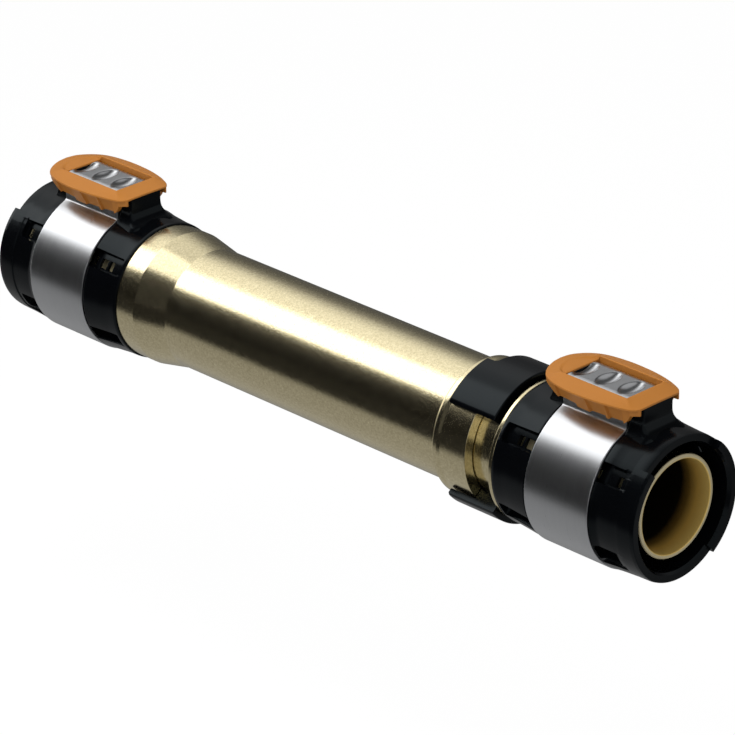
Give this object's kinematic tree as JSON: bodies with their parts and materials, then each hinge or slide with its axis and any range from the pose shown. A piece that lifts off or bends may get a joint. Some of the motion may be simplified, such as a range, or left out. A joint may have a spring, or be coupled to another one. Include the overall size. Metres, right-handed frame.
{
  "type": "pipe repair coupling",
  "caption": "Straight brass telescopic pipe coupling with a black clip on its slide and, at each end, a plastic holder with a steel press band under an orange windowed indicator.",
  "frame": {"origin": "middle of the mouth of the right-hand insert, on the axis of the coupling", "axes": "+X along the axis and out of the right-hand end, +Z towards the press lugs and indicators, -Y towards the clip's opening"},
  "size_m": [0.357, 0.0619, 0.0736],
  "materials": {
    "brass": "fine blasted, pale",
    "black_plastic": "satin moulded",
    "band_steel": "satin drawn",
    "orange_plastic": "satin moulded",
    "rubber": "smooth",
    "white_plastic": "smooth",
    "spring_steel": "plain"
  },
  "bodies": {
    "root": {"body_tube": "brass", "end_collar": "brass", "slide_tube": "brass", "slide_seal_front": "rubber", "slide_seal_back": "rubber", "guide_ring": "white_plastic", "stop_ring": "spring_steel", "lock_clip": "black_plastic", "left_holder": "black_plastic", "right_holder": "black_plastic", "left_band": "band_steel", "right_band": "band_steel", "left_indicator": "orange_plastic", "right_indicator": "orange_plastic", "left_seal_outer": "rubber", "left_seal_inner": "rubber", "right_seal_outer": "rubber", "right_seal_inner": "rubber", "left_stop_ring": "black_plastic", "right_stop_ring": "black_plastic"}
  },
  "joints": []
}
